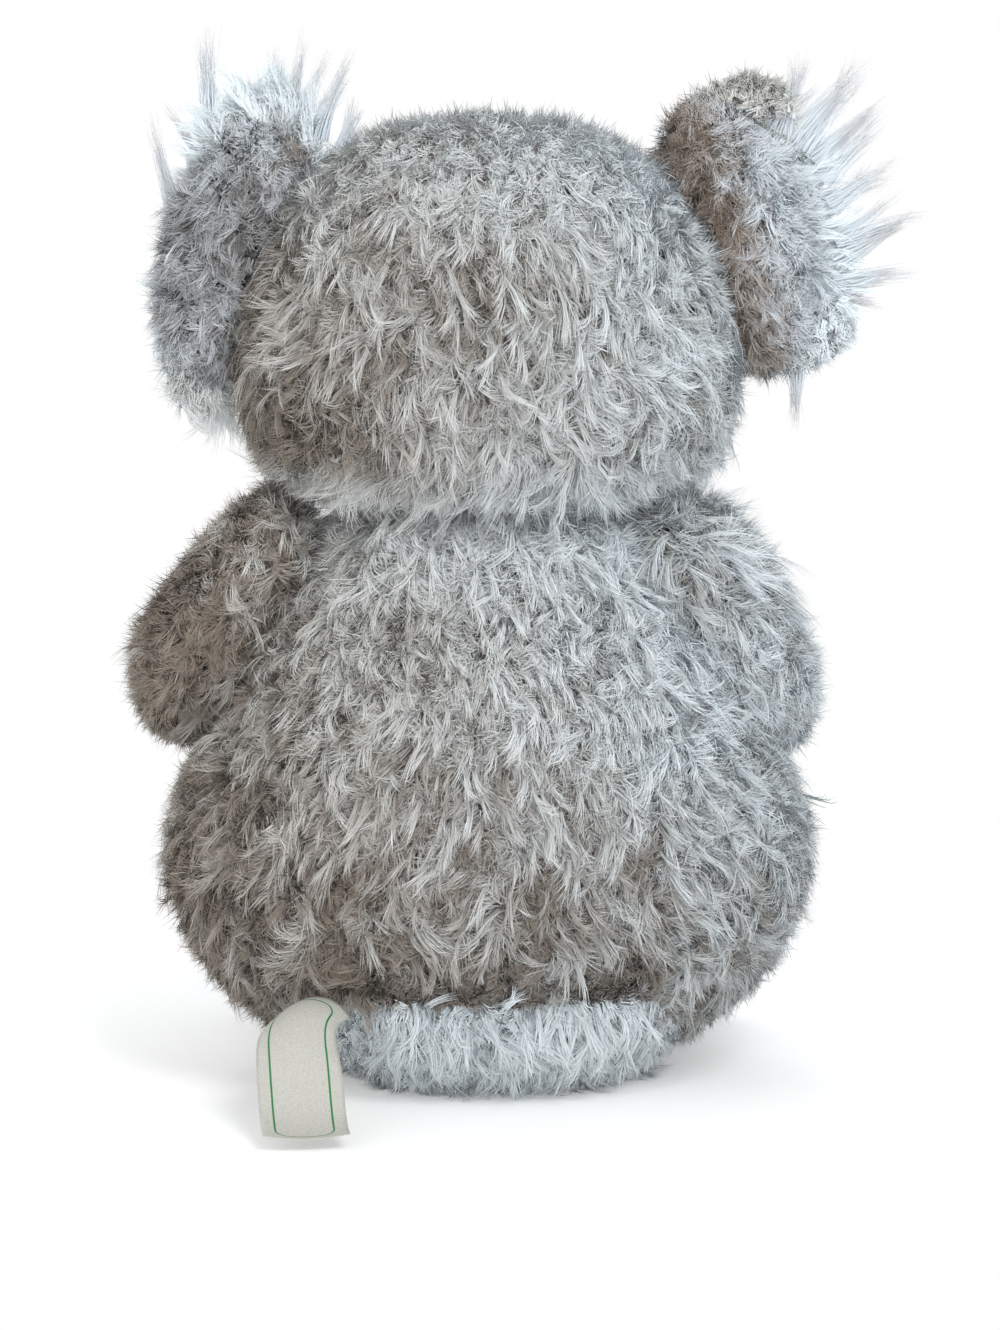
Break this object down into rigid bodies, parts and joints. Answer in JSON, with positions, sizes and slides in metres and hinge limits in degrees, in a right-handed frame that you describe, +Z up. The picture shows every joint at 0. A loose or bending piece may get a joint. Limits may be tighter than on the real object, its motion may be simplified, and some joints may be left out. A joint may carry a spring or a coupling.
{
  "type": "plush koala",
  "caption": "Sitting stuffed koala with shaggy fur, round fringed ears, short arms and legs and a sewn-in label.",
  "frame": {"origin": "middle of the flat patch that the seat rests on", "axes": "+Z up, the toy faces -Y and its own left side is +X"},
  "size_m": [0.2306, 0.2312, 0.3067],
  "materials": {
    "grey_fur": "matte",
    "ear_fur": "matte",
    "white_fur": "matte",
    "stuffing": "matte",
    "black_plastic": "gloss",
    "washer_plastic": "matte",
    "label_satin": "satin"
  },
  "bodies": {
    "torso": {"back_panel_left": "grey_fur", "back_panel_right": "grey_fur", "belly_panel": "white_fur", "seat_panel": "white_fur", "body_stuffing": "stuffing"},
    "label": {"care_label": "label_satin"},
    "head": {"head_panel_left": "grey_fur", "head_panel_right": "grey_fur", "face_panel": "grey_fur", "muzzle_panel": "white_fur", "nose": "black_plastic", "nose_washer": "washer_plastic", "eye_left": "black_plastic", "eye_right": "black_plastic", "eye_washer_left": "washer_plastic", "eye_washer_right": "washer_plastic", "head_stuffing": "stuffing"},
    "ear_left": {"ear_back_left": "ear_fur", "ear_front_left": "white_fur"},
    "ear_right": {"ear_back_right": "ear_fur", "ear_front_right": "white_fur"},
    "arm_left": {"arm_outer_panel_left": "grey_fur", "arm_inner_panel_left": "grey_fur", "arm_stuffing_left": "stuffing"},
    "arm_right": {"arm_outer_panel_right": "grey_fur", "arm_inner_panel_right": "grey_fur", "arm_stuffing_right": "stuffing"},
    "leg_left": {"leg_upper_panel_left": "grey_fur", "leg_lower_panel_left": "grey_fur", "foot_sole_left": "white_fur", "leg_stuffing_left": "stuffing"},
    "leg_right": {"leg_upper_panel_right": "grey_fur", "leg_lower_panel_right": "grey_fur", "foot_sole_right": "white_fur", "leg_stuffing_right": "stuffing"}
  },
  "joints": [
    {"name": "head_nod", "type": "hinge", "parent": "torso", "child": "head", "pos_m": [0, -0.002, 0.15], "axis": [1, 0, 0], "range_deg": [-10, 14], "stiffness_Nm_per_rad": 0.8},
    {"name": "ear_fold_left", "type": "hinge", "parent": "head", "child": "ear_left", "pos_m": [0.0685, 0, 0.262], "axis": [-0.2756, 0, 0.9613], "range_deg": [-25, 25], "stiffness_Nm_per_rad": 0.03},
    {"name": "ear_fold_right", "type": "hinge", "parent": "head", "child": "ear_right", "pos_m": [-0.0685, 0, 0.262], "axis": [-0.2756, 0, -0.9613], "range_deg": [-25, 25], "stiffness_Nm_per_rad": 0.03},
    {"name": "arm_swing_left", "type": "hinge", "parent": "torso", "child": "arm_left", "pos_m": [0.058, 0.005, 0.158], "axis": [-0.8746, 0, -0.4848], "range_deg": [-12, 40], "stiffness_Nm_per_rad": 0.3},
    {"name": "arm_swing_right", "type": "hinge", "parent": "torso", "child": "arm_right", "pos_m": [-0.058, 0.005, 0.158], "axis": [-0.8746, 0, 0.4848], "range_deg": [-12, 40], "stiffness_Nm_per_rad": 0.3},
    {"name": "leg_lift_left", "type": "hinge", "parent": "torso", "child": "leg_left", "pos_m": [0.044, -0.046, 0.041], "axis": [-0.9925, -0.1219, 0], "range_deg": [0, 30], "stiffness_Nm_per_rad": 0.3},
    {"name": "leg_lift_right", "type": "hinge", "parent": "torso", "child": "leg_right", "pos_m": [-0.044, -0.046, 0.041], "axis": [-0.9925, 0.1219, 0], "range_deg": [0, 30], "stiffness_Nm_per_rad": 0.3},
    {"name": "label_lift", "type": "hinge", "parent": "torso", "child": "label", "pos_m": [0.04934, 0.06355, 0.03576], "axis": [0.9153, -0.4028, 0], "range_deg": [0, 40]}
  ]
}
